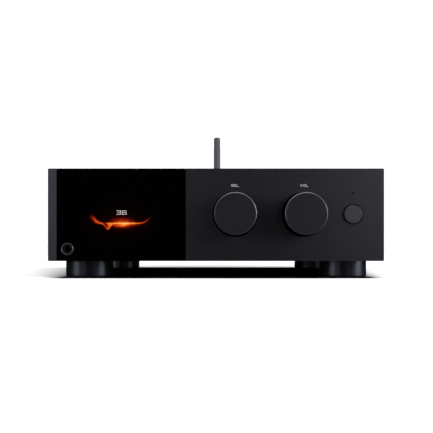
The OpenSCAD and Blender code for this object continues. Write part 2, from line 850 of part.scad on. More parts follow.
module post_insulators() {
    color(plastic_black) for (x = post_x) {
        tube_y(x, post_z, rear_y, rear_y + post_flange_t, 7.4, post_stud_r + 0.05);
        tube_y(x, post_z, rear_in, rear_y, 5.1, post_stud_r + 0.05);
        tube_y(x, post_z, rear_in - 3, rear_in, 7.4, post_stud_r + 0.05);
    }
}

// A fluted cap on the stud's thread, open at its end for a banana plug.
module post_cap(x, tint) {
    color(tint) difference() {
        turned_y(x, post_z, cap_y0, [
            [post_stud_r + 0.08, 0], [cap_r - 1.2, 0], [cap_r - 0.4, 0.8],
            [cap_r - 0.4, 1.6], [cap_r, 2], [cap_r, cap_y1 - cap_y0 - 1],
            [cap_r - 1, cap_y1 - cap_y0], [banana_r + 0.6, cap_y1 - cap_y0],
            [banana_r + 0.3, cap_y1 - cap_y0 - 0.5], [banana_r + 0.3, post_end - cap_y0 + 0.8],
            [post_stud_r + 0.08, post_end - cap_y0 + 0.8]
        ]);
        for (k = [0 : flutes - 1]) {
            a = 360 * k / flutes;
            rod_y(x + (cap_r + 0.5) * cos(a), post_z + (cap_r + 0.5) * sin(a),
                  cap_y0 + 2.4, cap_y1 + 1, 0.9);
        }
    }
}

module post_washer(x) {
    color(gold) tube_y(x, post_z, post_collar_y + 0.3, cap_y0 - 0.1, 5.6, post_stud_r + 0.08);
}

module left_positive_cap() { post_cap(post_x[0], signal_red); }
module left_negative_cap() { post_cap(post_x[1], plastic_black); }
module right_positive_cap() { post_cap(post_x[2], signal_red); }
module right_negative_cap() { post_cap(post_x[3], plastic_black); }
module left_positive_washer() { post_washer(post_x[0]); }
module left_negative_washer() { post_washer(post_x[1]); }
module right_positive_washer() { post_washer(post_x[2]); }
module right_negative_washer() { post_washer(post_x[3]); }

// ---- Mains inlet ----

module mains_inlet() {
    back = rear_y - inlet_depth;
    mid_z = (inlet_z0 + inlet_z1) / 2;
    color(plastic_black) {
        difference() {
            union() {
                along_y(rear_y, inlet_face) translate([inlet_x, mid_z])
                    rounded(50, inlet_z1 - inlet_z0 + 6, 4);
                box([inlet_x - inlet_w / 2, back, inlet_z0],
                    [inlet_x + inlet_w / 2, rear_y + eps, inlet_z1]);
            }
            box([inlet_x - plug_w / 2, inlet_face - 16, plug_z0],
                [inlet_x + plug_w / 2, inlet_face + 1, plug_z1]);
            box([inlet_x - drawer_w / 2 - 0.2, rear_y - 25, drawer_z0 - 0.2],
                [inlet_x + drawer_w / 2 + 0.2, inlet_face + 1, drawer_z1 + 0.2]);
            box([inlet_x - rocker_w / 2 - 0.3, rocker_y - 6, rocker_z - 9.2],
                [inlet_x + rocker_w / 2 + 0.3, inlet_face + 1, rocker_z + 9.2]);
            rod_x(rocker_y, rocker_z, inlet_x - rocker_w / 2 - 1.3,
                  inlet_x + rocker_w / 2 + 1.3, rocker_pin_r + running);
        }
    }
    color(zinc) for (p = [[-7, 56], [7, 56], [0, 60]])
        box([inlet_x + p.x - 1, inlet_face - 16, p.y - 2],
            [inlet_x + p.x + 1, inlet_face - 2, p.y + 2]);
}

// The drawer's tray with the glass fuse lying across it.
module fuse_drawer() {
    color(plastic_black) union() {
        difference() {
            box([inlet_x - drawer_w / 2, rear_y - 23, drawer_z0],
                [inlet_x + drawer_w / 2, inlet_face + 0.3, drawer_z1]);
            box([inlet_x - 10.4, rear_y - 14, drawer_z0 + 0.8],
                [inlet_x + 10.4, rear_y - 8.6, drawer_z1 + 1]);
        }
        box([inlet_x - drawer_w / 2 - 0.6, inlet_face + 0.2, drawer_z0 - 0.6],
            [inlet_x + drawer_w / 2 + 0.6, inlet_face + 1.6, drawer_z1 + 0.6]);
    }
    color(nylon_white)
        rod_x(rear_y - 11.3, drawer_z0 + 3.5, inlet_x - 10, inlet_x + 10, 2.5);
}

// A two-faced rocker on short stub pins, shown with its upper half pressed.
module mains_rocker() {
    color(plastic_black) union() {
        translate([0, rocker_y, rocker_z]) rotate([rocker_tilt, 0, 0])
            translate([0, -rocker_y, -rocker_z])
                along_x(inlet_x - rocker_w / 2, inlet_x + rocker_w / 2)
                    translate([rocker_y, rocker_z]) polygon([
                        [4.9, -8.2], [3.4, 0], [4.9, 8.2], [0, 8], [-3, 3], [-3, -3], [0, -8]
                    ]);
        rod_x(rocker_y, rocker_z, inlet_x - rocker_w / 2 - 1.1, inlet_x + rocker_w / 2 + 1.1,
              rocker_pin_r);
    }
}

// ---- Antenna ----

module antenna_connector() {
    color(gold) {
        rod_y(0, antenna_z, rear_y - 9, antenna_nut_y1 - 1.5, connector_r);
        hex_y(0, antenna_z, rear_in - 3, rear_in, 5.2, connector_r);
        hex_y(0, antenna_z, rear_y, rear_y + 2.2, 4.6, connector_r);
    }
}

// The coupling nut turns on the connector and its fork carries the hinge pin.
module antenna_base() {
    color(plastic_black) difference() {
        union() {
            rod_y(0, antenna_z, antenna_nut_y0, antenna_nut_y1, antenna_r);
            for (s = [-1, 1]) translate([s * (fork_inner + antenna_r) / 2, 0, 0]) {
                half = (antenna_r - fork_inner) / 2;
                rod_x(antenna_y, antenna_z, -half, half, knuckle_r);
                intersection() {
                    box([-half, antenna_nut_y1 - eps, antenna_z - knuckle_r],
                        [half, antenna_y, antenna_z + knuckle_r]);
                    translate([-s * (fork_inner + antenna_r) / 2, 0, 0])
                        rod_y(0, antenna_z, antenna_nut_y1 - 1, antenna_y, antenna_r);
                }
            }
            rod_x(antenna_y, antenna_z, -fork_inner - 1, fork_inner + 1, antenna_pin_r);
        }
        rod_y(0, antenna_z, antenna_nut_y0 - 1, antenna_nut_y1 - 1, connector_r + running);
        for (k = [0 : 11])
            rod_y((antenna_r + 0.4) * cos(30 * k), antenna_z + (antenna_r + 0.4) * sin(30 * k),
                  antenna_nut_y0 - 1, antenna_nut_y1 - 1.2, 0.7);
    }
}

// The whip: a tongue in the fork, a long barrel, a groove and a round tip.
module antenna_whip() {
    top = antenna_len - whip_start;
    color(case_black) difference() {
        union() {
            translate([0, antenna_y, antenna_z + whip_start]) rotate_extrude() polygon(concat(
                [[0, 0], [antenna_r - 0.3, 0], [antenna_r, 0.3], [antenna_r, top - tip_len - 0.5],
                 [antenna_r - 0.5, top - tip_len], [antenna_r - 0.5, top - tip_len + 0.7],
                 [antenna_r - 0.15, top - tip_len + 1]],
                [for (a = [0 : 15 : 90]) [antenna_r - 2.5 + 2.35 * cos(a), top - 2.5 + 2.5 * sin(a)]],
                [[0, top]]));
            rod_x(antenna_y, antenna_z, 0.2 - fork_inner, fork_inner - 0.2, knuckle_r);
            box([0.2 - fork_inner, antenna_y - 3.6, antenna_z],
                [fork_inner - 0.2, antenna_y + 3.6, antenna_z + whip_start + eps]);
        }
        rod_x(antenna_y, antenna_z, -fork_inner, fork_inner, antenna_pin_r + running);
    }
}

// ---- Wiring ----

module wiring_looms() {
    speaker_bend = [112, 116, 120, 124];
    speaker_start = [-18, -13, -8, -3];
    color(signal_red) {
        for (x = [-135, -130])
            wire([[x, rear_y - inlet_depth, 55], [x, 104, 55], [x, 104, deck_top]], 1.3);
        for (x = [-82, -77, -72, -67])
            wire([[x, 6, 50], [x, 30, 50], [x, 30, deck_top]], 1.4);
        for (y = [45, 50, 55])
            wire([[-45, y, deck_top], [-45, y, 42], [-12, y, 42], [-12, y, deck_top]], 1.4);
        for (i = [0 : 3])
            wire([[speaker_start[i], 59, deck_top], [speaker_start[i], 59, post_z],
                  [speaker_start[i], speaker_bend[i], post_z], [post_x[i], speaker_bend[i], post_z],
                  [post_x[i], rear_y - 17, post_z]], 1.4);
    }
    color(plastic_black) {
        wire([[0, rear_y - 9, antenna_z], [0, 107, antenna_z], [24, 107, antenna_z],
              [24, 107, deck_top + 8]], 1);
        wire([[jack_x, jack_back, 34], [jack_x, -110, 34], [-8, -110, 34], [-8, -90, 34],
              [-8, -90, deck_top]], 1.5);
    }
    // Flat cable from the control board over the amplifier board to the input board.
    color([0.6, 0.6, 0.62]) along_x(70, 90) {
        y0 = control_board_y + board_t;
        translate([y0, 69.6]) square([9, 0.8]);
        translate([y0 + 8.2, 69.6]) square([0.8, 17.2]);
        translate([y0 + 8.2, 86]) square([93 - y0 - 8.2, 0.8]);
        translate([92.2, deck_top + 7]) square([0.8, 79.8 - deck_top]);
    }
}

// ---- Assembly ----

front_panel();
display_glass();
display_module();
headphone_bezel();
headphone_socket();
selector_knob();
volume_knob();
selector_shaft();
volume_shaft();
encoder_bodies();
encoder_nuts();
power_button();
button_sleeve();
button_spring();
power_switch();
switch_plunger();
standby_lamp();
control_board();
base_tray();
top_cover();
rear_panel();
machine_screws();
front_left_foot();
front_right_foot();
rear_left_foot();
rear_right_foot();
foot_pads();
foot_screws();
mains_transformer();
transformer_clamp();
transformer_bolt();
transformer_pads();
power_supply_board();
smoothing_capacitors();
heat_sink();
output_transistors();
amplifier_board();
input_board();
input_sockets();
socket_insulators();
streaming_module();
binding_posts();
post_insulators();
left_positive_cap();
left_negative_cap();
right_positive_cap();
right_negative_cap();
left_positive_washer();
left_negative_washer();
right_positive_washer();
right_negative_washer();
mains_inlet();
fuse_drawer();
mains_rocker();
network_socket();
antenna_connector();
antenna_base();
antenna_whip();
wiring_looms();
board_standoffs();
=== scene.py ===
"""Look of the integrated amplifier: procedural materials, fine pieces, light and camera."""
import math
import bmesh
import bpy
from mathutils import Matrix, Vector


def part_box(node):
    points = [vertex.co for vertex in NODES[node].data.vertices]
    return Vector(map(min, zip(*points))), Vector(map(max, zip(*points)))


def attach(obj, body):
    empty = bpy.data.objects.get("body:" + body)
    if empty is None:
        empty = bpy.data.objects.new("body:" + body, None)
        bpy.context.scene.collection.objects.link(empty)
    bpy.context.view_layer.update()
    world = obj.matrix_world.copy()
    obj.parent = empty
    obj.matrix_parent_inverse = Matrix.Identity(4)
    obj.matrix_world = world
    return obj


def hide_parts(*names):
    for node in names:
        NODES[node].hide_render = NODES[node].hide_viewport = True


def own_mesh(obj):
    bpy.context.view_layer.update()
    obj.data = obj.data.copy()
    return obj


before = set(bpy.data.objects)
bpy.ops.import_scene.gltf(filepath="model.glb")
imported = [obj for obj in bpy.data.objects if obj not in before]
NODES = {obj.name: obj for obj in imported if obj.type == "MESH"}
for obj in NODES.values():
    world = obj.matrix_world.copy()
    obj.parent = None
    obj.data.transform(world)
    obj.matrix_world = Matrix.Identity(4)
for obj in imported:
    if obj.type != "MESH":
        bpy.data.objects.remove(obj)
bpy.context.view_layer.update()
MM = 0.001

# ---------------------------------------------------------------- places worked out from the frame


def centre(node):
    """Middle of a CAD node's box."""
    low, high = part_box(node)
    return Vector([(a + b) / 2 for a, b in zip(low, high)])


FRONT_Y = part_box("front_panel")[0][1]
GLASS_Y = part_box("display_glass")[0][1]
DISPLAY_X = centre("display_module").x
MID_Z = centre("front_panel").z
KNOBS = ("selector_knob", "volume_knob")
CREASE = math.radians(32)

# ---------------------------------------------------------------- node helpers


class Shader:
    """A material whose nodes are made by short calls."""

    def __init__(self, name, **values):
        self.mat = bpy.data.materials.new(name)
        self.mat.use_nodes = True
        self.tree = self.mat.node_tree
        self.bsdf = self.tree.nodes["Principled BSDF"]
        for key, value in values.items():
            self.bsdf.inputs[key.replace("_", " ")].default_value = value
        self.coords = self.tree.nodes.new("ShaderNodeTexCoord").outputs["Object"]

    def put(self, socket, value):
        """Links another node's socket, or sets a plain value."""
        if isinstance(value, bpy.types.NodeSocket):
            self.tree.links.new(value, socket)
        else:
            socket.default_value = value

    def node(self, kind, inputs=(), out=0, **settings):
        made = self.tree.nodes.new(kind)
        for key, value in settings.items():
            setattr(made, key, value)
        for key, value in dict(inputs).items():
            self.put(made.inputs[key], value)
        return made.outputs[out]

    def math(self, operation, a, b=0.0):
        return self.node("ShaderNodeMath", {0: a, 1: b}, operation=operation)

    def add(self, first, *others):
        for other in others:
            first = self.math("ADD", first, other)
        return first

    def minus(self, a, b):
        return self.math("SUBTRACT", a, b)

    def times(self, first, *others):
        for other in others:
            first = self.math("MULTIPLY", first, other)
        return first

    def bell(self, value, middle, width):
        """A smooth hump of height 1 about middle."""
        t = self.math("DIVIDE", self.minus(value, middle), width)
        return self.math("EXPONENT", self.times(t, t, -1.0))

    def axes(self):
        made = self.tree.nodes.new("ShaderNodeSeparateXYZ")
        self.tree.links.new(self.coords, made.inputs[0])
        return made.outputs

    def radius_about(self, middle):
        """Distance from the line along Y through middle."""
        axes = self.axes()
        dx = self.minus(axes[0], middle.x)
        dz = self.minus(axes[2], middle.z)
        return self.math("SQRT", self.add(self.times(dx, dx), self.times(dz, dz)))

    def noise(self, scale, detail=3.0, roughness=0.5, vector=None):
        return self.node("ShaderNodeTexNoise", {"Vector": vector or self.coords, "Scale": scale,
                                                "Detail": detail, "Roughness": roughness})

    def remap(self, value, low, high, to_low, to_high):
        return self.node("ShaderNodeMapRange", {"Value": value, "From Min": low, "From Max": high,
                                                "To Min": to_low, "To Max": to_high})

    def mix(self, factor, a, b):
        made = self.tree.nodes.new("ShaderNodeMix")
        made.data_type = "RGBA"
        for key, value in ((0, factor), (6, a), (7, b)):
            self.put(made.inputs[key], value)
        return made.outputs[2]

    def ramp(self, value, stops):
        made = self.tree.nodes.new("ShaderNodeValToRGB")
        self.tree.links.new(value, made.inputs[0])
        elements = made.color_ramp.elements
        while len(elements) < len(stops):
            elements.new(0.5)
        for element, (place, colour) in zip(elements, stops):
            element.position = place
            element.color = (*colour, 1)
        return made.outputs[0]

    def bump(self, height, depth, strength):
        """Bumps the surface by height, where depth is in millimetres."""
        self.set(Normal=self.node("ShaderNodeBump", {"Height": height, "Distance": depth * MM,
                                                     "Strength": strength}))

    def set(self, **inputs):
        for key, value in inputs.items():
            self.put(self.bsdf.inputs[key.replace("_", " ")], value)


def rgb(r, g, b):
    return (r, g, b, 1.0)


def toned(colour, factor):
    """The same colour, darker or lighter by factor."""
    return rgb(*[min(1.0, c * factor) for c in colour])


# ---------------------------------------------------------------- materials

ANTHRACITE = (0.050, 0.050, 0.061)
KNOB_TONE = (0.033, 0.033, 0.041)
BLACK = (0.012, 0.012, 0.013)

# The painted shade in the wells reaches a little wider than they are and starts just inside them.
WELL_SHADE_R = 24.0 * MM
WELL_SHADE_START = 0.3 * MM


def blasted_aluminium(name, colour, roughness=0.42, metal=0.85, wells=()):
    """Bead-blasted and anodised: a very fine even grain and slight drift of tone.

    wells lists the middles of the shallow wells under the knobs, whose insides are painted black as
    shade."""
    s = Shader(name, Metallic=metal, Roughness=roughness)
    drift = s.noise(9.0, 2.0)
    fine = s.noise(2600.0, 2.0, 0.6)
    tone = s.mix(drift, toned(colour, 0.93), toned(colour, 1.07))
    # Painted shade: recessed panel surfaces within each well are painted near black.
    for well in wells:
        inside = s.math("LESS_THAN", s.radius_about(well), WELL_SHADE_R)
        deep = s.math("GREATER_THAN", s.axes()[1], FRONT_Y + WELL_SHADE_START)
        tone = s.mix(s.times(inside, deep), tone, rgb(0.001, 0.001, 0.001))
    s.set(Base_Color=tone,
          Roughness=s.remap(fine, 0.3, 0.7, roughness - 0.04, roughness + 0.05))
    s.bump(fine, 0.012, 0.6)
    return s.mat


def turned_aluminium(name, colour, middle, roughness=0.34, ring=1.0, side=1.0):
    """Turned on a lathe and anodised: hair-fine rings about the knob's axis on its face.

    ring and side scale the tone of the chamfer, cut bare and made lighter as a painted highlight,
    and of the side wall, made darker as painted shade."""
    s = Shader(name, Metallic=0.85, Roughness=roughness)
    along = s.node("ShaderNodeCombineXYZ", {0: s.radius_about(middle)})
    rings = s.noise(5200.0, 2.0, 0.6, vector=along)
    drift = s.noise(14.0, 2.0)
    normal = s.node("ShaderNodeNewGeometry", out=1)
    facing = s.math("ABSOLUTE", s.node("ShaderNodeSeparateXYZ", {0: normal}, out=1))
    # Painted highlight on the chamfer and painted shade on the side wall, set by ring and side.
    wall = s.mix(s.remap(facing, 0.08, 0.20, 0.0, 1.0), toned(colour, side), toned(colour, ring))
    face = s.mix(drift, toned(colour, 0.94), toned(colour, 1.08))
    s.set(Base_Color=s.mix(s.remap(facing, 0.93, 0.99, 0.0, 1.0), wall, face),
          Roughness=s.remap(rings, 0.3, 0.7, roughness - 0.05, roughness + 0.06))
    s.bump(rings, 0.008, 0.5)
    return s.mat


def powder_coat(name, colour, roughness=0.55):
    """Textured paint on folded steel."""
    s = Shader(name, Metallic=0.0, Roughness=roughness)
    fine = s.noise(1500.0, 3.0, 0.6)
    wide = s.noise(12.0, 2.0)
    s.set(Base_Color=s.mix(wide, toned(colour, 0.9), toned(colour, 1.15)),
          Roughness=s.remap(fine, 0.3, 0.7, roughness - 0.08, roughness + 0.1))
    s.bump(fine, 0.06, 0.55)
    return s.mat


def moulded_plastic(name, colour, roughness=0.45, grain=0.02, scale=1800.0, specular=0.5):
    """Plastic or rubber with the fine grain of its mould, grain millimetres deep."""
    s = Shader(name, Metallic=0.0, Roughness=roughness, Specular_IOR_Level=specular)
    fine = s.noise(scale, 3.0, 0.6)
    wide = s.noise(30.0, 2.0)
    s.set(Base_Color=s.mix(wide, toned(colour, 0.9), toned(colour, 1.1)),
          Roughness=s.remap(fine, 0.3, 0.7, roughness - 0.06, roughness + 0.08))
    s.bump(fine, grain, 0.5)
    return s.mat


def plated_metal(name, colour, roughness=0.28):
    """Zinc, tin or gold plate: bright with faint rolling marks and cloudy patches."""
    s = Shader(name, Metallic=1.0, Roughness=roughness)
    clouds = s.noise(160.0, 4.0, 0.6)
    marks = s.noise(700.0, 3.0, 0.5)
    s.set(Base_Color=s.mix(clouds, toned(colour, 0.82), toned(colour, 1.08)),
          Roughness=s.remap(clouds, 0.3, 0.7, roughness - 0.06, roughness + 0.12))
    s.bump(marks, 0.01, 0.5)
    return s.mat


def circuit_board(name):
    """Green solder mask with copper tracks showing as slightly lighter lines."""
    s = Shader(name, Metallic=0.0, Roughness=0.35)
    tracks = s.node("ShaderNodeTexVoronoi", {"Vector": s.coords, "Scale": 220.0},
                    feature="DISTANCE_TO_EDGE", distance="MANHATTAN")
    line = s.math("LESS_THAN", tracks, 0.06)
    s.set(Base_Color=s.mix(line, rgb(0.010, 0.060, 0.030), rgb(0.030, 0.150, 0.070)))
    s.bump(line, 0.03, 0.4)
    return s.mat


def wound_tape(name, middle):
    """Overlapping turns of amber tape round the transformer's ring."""
    s = Shader(name, Metallic=0.0, Roughness=0.3)
    axes = s.axes()
    angle = s.math("ARCTAN2", s.minus(axes[1], middle.y), s.minus(axes[0], middle.x))
    turns = s.math("SINE", s.times(angle, 64.0))
    wear = s.noise(90.0, 3.0)
    s.set(Base_Color=s.mix(wear, rgb(0.30, 0.13, 0.02), rgb(0.55, 0.30, 0.06)))
    s.bump(turns, 0.4, 0.6)
    return s.mat


def display_glass_material(window_x, line_z):
    """Black glass; behind it the lit cell shows a glowing wave, worked out from x and z.

    window_x is the lit cell's middle and line_z the height of the wave's straight line. All
    numbers of the wave are millimetres and parts of full brightness."""
    s = Shader("black glass with lit display", Metallic=0.0, Roughness=0.05, IOR=1.5)
    smudge = s.noise(40.0, 3.0)
    s.set(Base_Color=s.mix(smudge, rgb(0.0001, 0.0001, 0.0001), rgb(0.0003, 0.0003, 0.0003)),
          Roughness=s.remap(smudge, 0.3, 0.7, 0.04, 0.09), Specular_IOR_Level=0.0)
    axes = s.axes()
    x = s.times(s.minus(axes[0], window_x), 1 / MM)
    z = s.times(s.minus(axes[2], line_z), 1 / MM)

    def hump(place, width, height):
        return s.times(s.bell(x, place, width), height)

    def line(rise, bright, width):
        return s.times(s.bell(z, rise, width), bright)

    def between(value, low, high, soft):
        rises = s.remap(value, s.minus(low, soft), s.add(low, soft), 0.0, 1.0)
        falls = s.remap(value, s.minus(high, soft), s.add(high, soft), 1.0, 0.0)
        return s.times(rises, falls)

    wave = s.add(hump(-32.0, 6.5, 7.0), hump(-13.3, 3.5, -6.1), hump(38.0, 9.5, 10.5))
    echo = s.add(hump(-30.0, 9.0, 2.0), hump(-2.0, 8.0, -3.2), hump(22.0, 8.0, -2.2),
                 hump(38.0, 8.0, 4.0))
    soft_ends = s.remap(s.math("ABSOLUTE", x), 27.0, 34.5, 1.0, 0.0)
    bright = s.times(s.add(hump(-24.0, 8.0, 0.10), hump(3.0, 14.0, -0.36), 0.46), soft_ends)
    faint = s.times(s.add(hump(-8.0, 14.0, 0.22), hump(12.0, 14.0, 0.26)), soft_ends)
    core = line(wave, bright, s.add(hump(-29.5, 6.0, 2.6), 0.95))
    straight = line(0.3, faint, 0.5)
    glow = line(-1.2, hump(4.5, 6.0, 0.24), 2.0)
    second = line(echo, s.times(hump(4.0, 28.0, 0.15), soft_ends), 1.6)
    dip = s.times(between(z, wave, 0.6, 0.7), hump(-11.8, 3.2, 0.46))
    above = s.math("GREATER_THAN", z, 0.0)
    away = s.math("DIVIDE", s.math("ABSOLUTE", z), s.remap(above, 0.0, 1.0, 4.7, 5.8))
    fall = s.math("POWER", away, s.remap(above, 0.0, 1.0, 1.7, 2.2))
    halo = s.times(s.math("EXPONENT", s.times(fall, -1.0)), hump(2.0, 12.5, 0.50))
    veil = s.times(s.math("EXPONENT", s.times(away, -0.5)), hump(0.0, 26.0, 0.09))
    wisps = s.remap(s.noise(260.0, 4.0, 0.55), 0.3, 0.7, 0.86, 1.08)
    heat = s.times(s.add(core, straight, glow, second, dip, halo, veil), wisps)
    flame = s.ramp(heat, [(0.0, (0, 0, 0)), (0.16, (0.010, 0.0004, 0.0)),
                          (0.36, (0.17, 0.006, 0.0004)), (0.62, (0.74, 0.085, 0.006)),
                          (0.86, (1.0, 0.29, 0.035)), (1.0, (1.0, 0.66, 0.22))])
    s.set(Emission_Color=flame, Emission_Strength=1.0)
    return s.mat


def printed_ink(name, colour, glow=0.0):
    """Speckled print, or lit numerals where it glows."""
    s = Shader(name, Metallic=0.0, Roughness=0.5)
    speckle = s.noise(4000.0, 2.0)
    tint = s.mix(speckle, toned(colour, 0.9), toned(colour, 1.05))
    s.set(Base_Color=tint)
    if glow:
        s.set(Emission_Color=tint, Emission_Strength=glow)
    return s.mat


def channel_colours(name, split_z):
    """Red collars on the lower row of phono sockets, white ones on the upper row."""
    s = Shader(name, Metallic=0.0, Roughness=0.32)
    upper = s.math("GREATER_THAN", s.axes()[2], split_z)
    fine = s.noise(900.0, 3.0)
    s.set(Base_Color=s.mix(upper, rgb(0.42, 0.012, 0.012), rgb(0.72, 0.72, 0.70)),
          Roughness=s.remap(fine, 0.3, 0.7, 0.26, 0.4))
    s.bump(fine, 0.01, 0.4)
    return s.mat


def jacket(name):
    """Red wire jackets, slightly uneven in tone."""
    s = Shader(name, Metallic=0.0, Roughness=0.4)
    fine = s.noise(1200.0, 2.0)
    s.set(Base_Color=s.mix(s.noise(25.0, 1.0), rgb(0.30, 0.02, 0.02), rgb(0.42, 0.05, 0.04)))
    s.bump(fine, 0.02, 0.4)
    return s.mat


# ---------------------------------------------------------------- CAD nodes: shading, edges, looks


def clean_shading(obj):
    """Drops stored normals and welds split corners before the edges are rounded."""
    bpy.context.view_layer.objects.active = obj
    with bpy.context.temp_override(object=obj, active_object=obj, selected_objects=[obj]):
        if obj.data.has_custom_normals:
            bpy.ops.mesh.customdata_custom_splitnormals_clear()
    obj.data.shade_smooth()
    weld = obj.modifiers.new("weld", "WELD")
    weld.merge_threshold = 0.000004


def dress(node, material, edge=0.25, segments=2):
    """Gives a CAD node its material and small rounded edges of edge millimetres.

    An edge of 0 leaves the edges crisp, as thin sheet metal has them."""
    obj = NODES[node]
    obj.data.materials.clear()
    obj.data.materials.append(material)
    for polygon in obj.data.polygons:
        polygon.material_index = 0
    clean_shading(obj)
    if edge:
        bevel = obj.modifiers.new("edges", "BEVEL")
        bevel.width = edge * MM
        bevel.segments = segments
        bevel.limit_method = "ANGLE"
        bevel.angle_limit = CREASE
        bevel.harden_normals = False
        bevel.use_clamp_overlap = True
        bevel.miter_outer = "MITER_ARC"
        normals = obj.modifiers.new("normals", "WEIGHTED_NORMAL")
        normals.keep_sharp = True
        normals.weight = 80
    else:
        split = obj.modifiers.new("split", "EDGE_SPLIT")
        split.split_angle = CREASE


panel_finish = blasted_aluminium("anodised anthracite panel", ANTHRACITE, metal=1.0,
                                 wells=[centre(knob) for knob in KNOBS])
button_finish = turned_aluminium("button finish", (0.064, 0.065, 0.073), centre("power_button"))
foot_finish = blasted_aluminium("anodised foot", (0.020, 0.022, 0.029), 0.28)
case_finish = powder_coat("textured black paint", (0.020, 0.020, 0.022))
plastic = moulded_plastic("black moulded plastic", BLACK)
gloss_red = moulded_plastic("red moulded plastic", (0.40, 0.012, 0.012), 0.25, 0.008)
gloss_black = moulded_plastic("glossy black plastic", (0.010, 0.010, 0.011), 0.25, 0.008)
deep_black = moulded_plastic("matt black plastic", (0.003, 0.003, 0.003), 0.6, specular=0.1)
red_lamp = moulded_plastic("red lamp", (0.016, 0.001, 0.005), 0.45, 0.004, specular=0.1)
antenna_skin = moulded_plastic("satin grey antenna", (0.058, 0.056, 0.068), 0.5, 0.01,
                               specular=0.1)
rubber = moulded_plastic("black rubber", (0.010, 0.010, 0.010), 0.8, 0.05, 900.0)
zinc = plated_metal("zinc plate", (0.56, 0.57, 0.58))
tin = plated_metal("tin plate", (0.60, 0.60, 0.61), 0.35)
gold = plated_metal("gold plate", (0.95, 0.66, 0.26), 0.18)
steel_wire = plated_metal("spring wire", (0.50, 0.50, 0.52), 0.22)
boards = circuit_board("solder mask")

dress("front_panel", panel_finish, 0.18, 3)
dress("display_glass", display_glass_material(DISPLAY_X, MID_Z - 9.0 * MM), 0.04)
dress("display_module", gloss_black, 0.2)
dress("headphone_bezel", blasted_aluminium("socket ring", (0.075, 0.075, 0.080), 0.3), 0.15)
dress("headphone_socket", deep_black, 0.2)
for name in KNOBS:
    # ring=3.0 paints a highlight on each knob's chamfer and side=0.05 paints shade on its side wall.
    finish = turned_aluminium(f"{name} finish", KNOB_TONE, centre(name), ring=3.0, side=0.05)
    dress(name, finish, 0.25, 3)
for name in ("selector_shaft", "volume_shaft", "encoder_bodies", "encoder_nuts",
             "machine_screws", "foot_screws", "transformer_clamp", "transformer_bolt",
             "board_standoffs"):
    dress(name, zinc, 0.15)
dress("power_button", button_finish, 0.2, 3)
dress("button_sleeve", deep_black, 0.15)
dress("power_switch", plastic, 0.15)
dress("switch_plunger", moulded_plastic("white nylon", (0.75, 0.75, 0.72)), 0.15)
dress("standby_lamp", red_lamp, 0.15)
for name in ("base_tray", "top_cover", "rear_panel"):
    dress(name, case_finish, 0)
for name in ("front_left_foot", "front_right_foot", "rear_left_foot", "rear_right_foot"):
    dress(name, foot_finish, 0.3, 3)
for name in ("foot_pads", "transformer_pads"):
    dress(name, rubber, 0.3)
dress("mains_transformer", wound_tape("amber winding tape", centre("mains_transformer")), 0)
for name in ("control_board", "power_supply_board", "amplifier_board", "input_board"):
    dress(name, boards, 0.15)
dress("smoothing_capacitors", moulded_plastic("dark blue sleeve", (0.010, 0.016, 0.060), 0.22,
                                              0.008), 0.2)
dress("heat_sink", blasted_aluminium("black heat sink", (0.022, 0.022, 0.024), 0.45), 0.2)
dress("output_transistors", plastic, 0.2)
dress("input_sockets", gold, 0.12)
dress("socket_insulators", channel_colours("phono colours", centre("input_sockets").z), 0.12)
dress("streaming_module", tin, 0.2)
dress("network_socket", tin, 0.15)
dress("binding_posts", gold, 0.15)
dress("post_insulators", plastic, 0.2)
for side in ("left", "right"):
    dress(f"{side}_positive_cap", gloss_red, 0.15)
    dress(f"{side}_negative_cap", gloss_black, 0.15)
    for pole in ("positive", "negative"):
        dress(f"{side}_{pole}_washer", gold, 0.1)
dress("mains_inlet", plastic, 0.25)
dress("fuse_drawer", gloss_black, 0.2)
dress("mains_rocker", gloss_black, 0.3, 3)
dress("antenna_connector", gold, 0.12)
dress("antenna_base", plastic, 0.15)
dress("antenna_whip", antenna_skin, 0.2, 3)
dress("wiring_looms", jacket("red leads"), 0)

# ---------------------------------------------------------------- fine pieces


def mesh_piece(name, build, material, body="amplifier"):
    """Makes a piece from a bmesh builder and lets it ride on a body."""
    made = bmesh.new()
    build(made)
    bmesh.ops.recalc_face_normals(made, faces=made.faces)
    mesh = bpy.data.meshes.new(name)
    made.to_mesh(mesh)
    made.free()
    obj = bpy.data.objects.new(name, mesh)
    bpy.context.scene.collection.objects.link(obj)
    mesh.materials.append(material)
    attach(obj, body)
    return obj


def arc(cx, cz, rx, rz, start, end, steps=10):
    """Points of an elliptical arc, in degrees, anticlockwise from +X."""
    turn = [math.radians(start + (end - start) * k / steps) for k in range(steps + 1)]
    return [(cx + rx * math.cos(a), cz + rz * math.sin(a)) for a in turn]


INK_THICKNESS = 0.02 * MM

# Letterforms in a box 1 wide and 1 high: each is a list of strokes.
STROKES = {
    "S": [arc(0.5, 0.75, 0.5, 0.25, 25, 270) + arc(0.5, 0.25, 0.5, 0.25, 90, -155)],
    "E": [[(1, 1), (0, 1), (0, 0), (1, 0)], [(0.22, 0.5), (0.85, 0.5)]],
    "L": [[(0, 1), (0, 0), (1, 0)]],
    "V": [[(0, 1), (0.5, 0), (1, 1)]],
    "O": [arc(0.5, 0.5, 0.5, 0.5, 0, 360, 24)],
    "3": [[(0, 1), (1, 1), (1, 0), (0, 0)], [(0.2, 0.5), (0.78, 0.5)]],
    "6": [[(1, 1), (0, 1), (0, 0), (1, 0), (1, 0.55), (0.22, 0.55)]],
}


